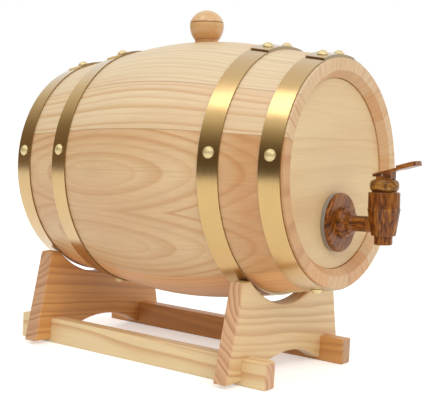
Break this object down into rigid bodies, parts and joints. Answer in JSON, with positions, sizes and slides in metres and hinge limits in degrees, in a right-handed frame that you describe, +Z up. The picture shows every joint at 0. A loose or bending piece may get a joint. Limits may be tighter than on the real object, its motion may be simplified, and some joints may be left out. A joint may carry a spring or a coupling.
{
  "type": "cask liquor dispenser",
  "caption": "Small coopered wooden cask with brass hoops, a push-lever tap and a turned bung, lying on a notched cradle stand.",
  "frame": {"origin": "on the table under the middle of the box that holds the whole dispenser", "axes": "+Z up, +Y from the tap end toward the back of the cask, +X to the right as seen from the tap end"},
  "size_m": [0.18, 0.2864, 0.2451],
  "materials": {
    "cask_pine": "straight-grained pale pine staves under clear satin varnish",
    "head_pine": "pale pine board under clear satin varnish",
    "stand_pine": "planed pine boards with strong growth lines under clear satin varnish",
    "hoop_brass": "satin brass-plated steel strip",
    "nail_brass": "polished domed brass nails",
    "bung_beech": "turned beech under clear lacquer",
    "tap_plastic": "moulded plastic with a printed dark wood-grain film under gloss lacquer",
    "washer_silicone": "translucent soft silicone",
    "stem_plastic": "moulded acetal",
    "cup_rubber": "moulded food-grade rubber",
    "spring_steel": "drawn stainless wire",
    "pin_steel": "ground stainless pin"
  },
  "bodies": {
    "stand": {"front_cradle": "stand_pine", "rear_cradle": "stand_pine", "left_rail": "stand_pine", "right_rail": "stand_pine"},
    "cask": {"bung_stave": "cask_pine", "stave_01": "cask_pine", "stave_02": "cask_pine", "stave_03": "cask_pine", "stave_04": "cask_pine", "stave_05": "cask_pine", "stave_06": "cask_pine", "stave_07": "cask_pine", "stave_08": "cask_pine", "stave_09": "cask_pine", "stave_10": "cask_pine", "stave_11": "cask_pine", "stave_12": "cask_pine", "stave_13": "cask_pine", "stave_14": "cask_pine", "front_head": "head_pine", "rear_head": "head_pine", "front_end_hoop": "hoop_brass", "front_inner_hoop": "hoop_brass", "rear_inner_hoop": "hoop_brass", "rear_end_hoop": "hoop_brass", "hoop_nails": "nail_brass", "tap_body": "tap_plastic", "flange_washer": "washer_silicone", "inner_washer": "washer_silicone", "shank_nut": "tap_plastic", "bonnet": "tap_plastic"},
    "bung": {"bung": "bung_beech"},
    "stem": {"valve_stem": "stem_plastic", "seat_cup": "cup_rubber", "valve_spring": "spring_steel"},
    "lever": {"lever": "tap_plastic", "lever_pin": "pin_steel"}
  },
  "joints": [
    {"name": "cask_lift", "type": "slide", "parent": "stand", "child": "cask", "axis": [0, 0, 1], "range_m": [0, 0.12]},
    {"name": "bung_lift", "type": "slide", "parent": "cask", "child": "bung", "axis": [0, 0.0434, 0.9991], "range_m": [0, 0.06]},
    {"name": "stem_lift", "type": "slide", "parent": "cask", "child": "stem", "axis": [0, 0.0434, 0.9991], "range_m": [0, 0.0018], "deforming": ["valve_spring"]},
    {"name": "lever_tilt", "type": "hinge", "parent": "stem", "child": "lever", "pos_m": [0, -0.12022, 0.13858], "axis": [1, 0, 0], "range_deg": [0, 18], "stiffness_Nm_per_rad": 0.0121, "springref_deg": -20.83}
  ],
  "couplings": [
    {"joint": "stem_lift", "follows": "lever_tilt", "m_per_rad": 0.0055}
  ]
}
